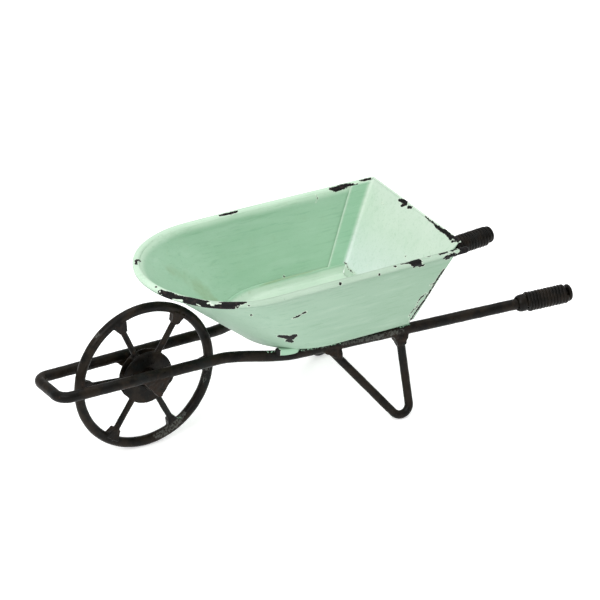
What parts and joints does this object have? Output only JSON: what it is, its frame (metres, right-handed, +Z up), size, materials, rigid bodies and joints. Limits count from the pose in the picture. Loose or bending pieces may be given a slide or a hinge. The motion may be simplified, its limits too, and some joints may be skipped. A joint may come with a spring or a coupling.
{
  "type": "miniature sheet metal wheelbarrow",
  "caption": "Small ornamental wheelbarrow: flared sheet tray with a rolled rim on a bent round-rod frame, splayed bent legs, ribbed grips and a spoked wheel that turns on its axle.",
  "frame": {"origin": "on the ground, midway between the front bar and the grip ends, in the plane of symmetry", "axes": "+X from the wheel towards the handles, +Z up, the plane Y = 0 is the plane of symmetry"},
  "size_m": [0.3048, 0.1016, 0.0987],
  "materials": {
    "tray_enamel": "mint green enamel, semi-gloss, chipped to dark metal along the rolled rim",
    "frame_iron": "worn near-black brown paint over steel rod, mottled, with rust tones",
    "wheel_iron": "worn near-black brown paint over steel rod and disc",
    "weld_metal": "lumpy weld metal under worn dark paint",
    "grip_coil": "close-wound wire, dark brown, dull",
    "rim_wire": "plain dark wire"
  },
  "bodies": {
    "frame": {"frame_rod": "frame_iron", "axle": "frame_iron", "axle_lug_left": "weld_metal", "axle_lug_right": "weld_metal", "grip_collar_left": "grip_coil", "grip_collar_right": "grip_coil", "grip_coil_left": "grip_coil", "grip_coil_right": "grip_coil", "grip_cap_left": "grip_coil", "grip_cap_right": "grip_coil", "leg_left": "frame_iron", "leg_right": "frame_iron", "leg_weld_front_left": "weld_metal", "leg_weld_front_right": "weld_metal", "leg_weld_rear_left": "weld_metal", "leg_weld_rear_right": "weld_metal", "tray_wall": "tray_enamel", "tray_floor": "tray_enamel", "tray_rear_panel": "tray_enamel", "rim_wire": "rim_wire", "tray_welds": "tray_enamel"},
    "wheel": {"wheel_rim": "wheel_iron", "hub_sleeve": "wheel_iron", "hub_disc_left": "wheel_iron", "hub_disc_right": "wheel_iron", "rim_welds": "weld_metal", "hub_welds": "weld_metal", "spoke_1": "wheel_iron", "spoke_2": "wheel_iron", "spoke_3": "wheel_iron", "spoke_4": "wheel_iron", "spoke_5": "wheel_iron", "spoke_6": "wheel_iron"}
  },
  "joints": [
    {"name": "wheel_spin", "type": "hinge", "parent": "frame", "child": "wheel", "pos_m": [-0.0911, 0, 0.04249], "axis": [0, 1, 0], "continuous": true}
  ]
}
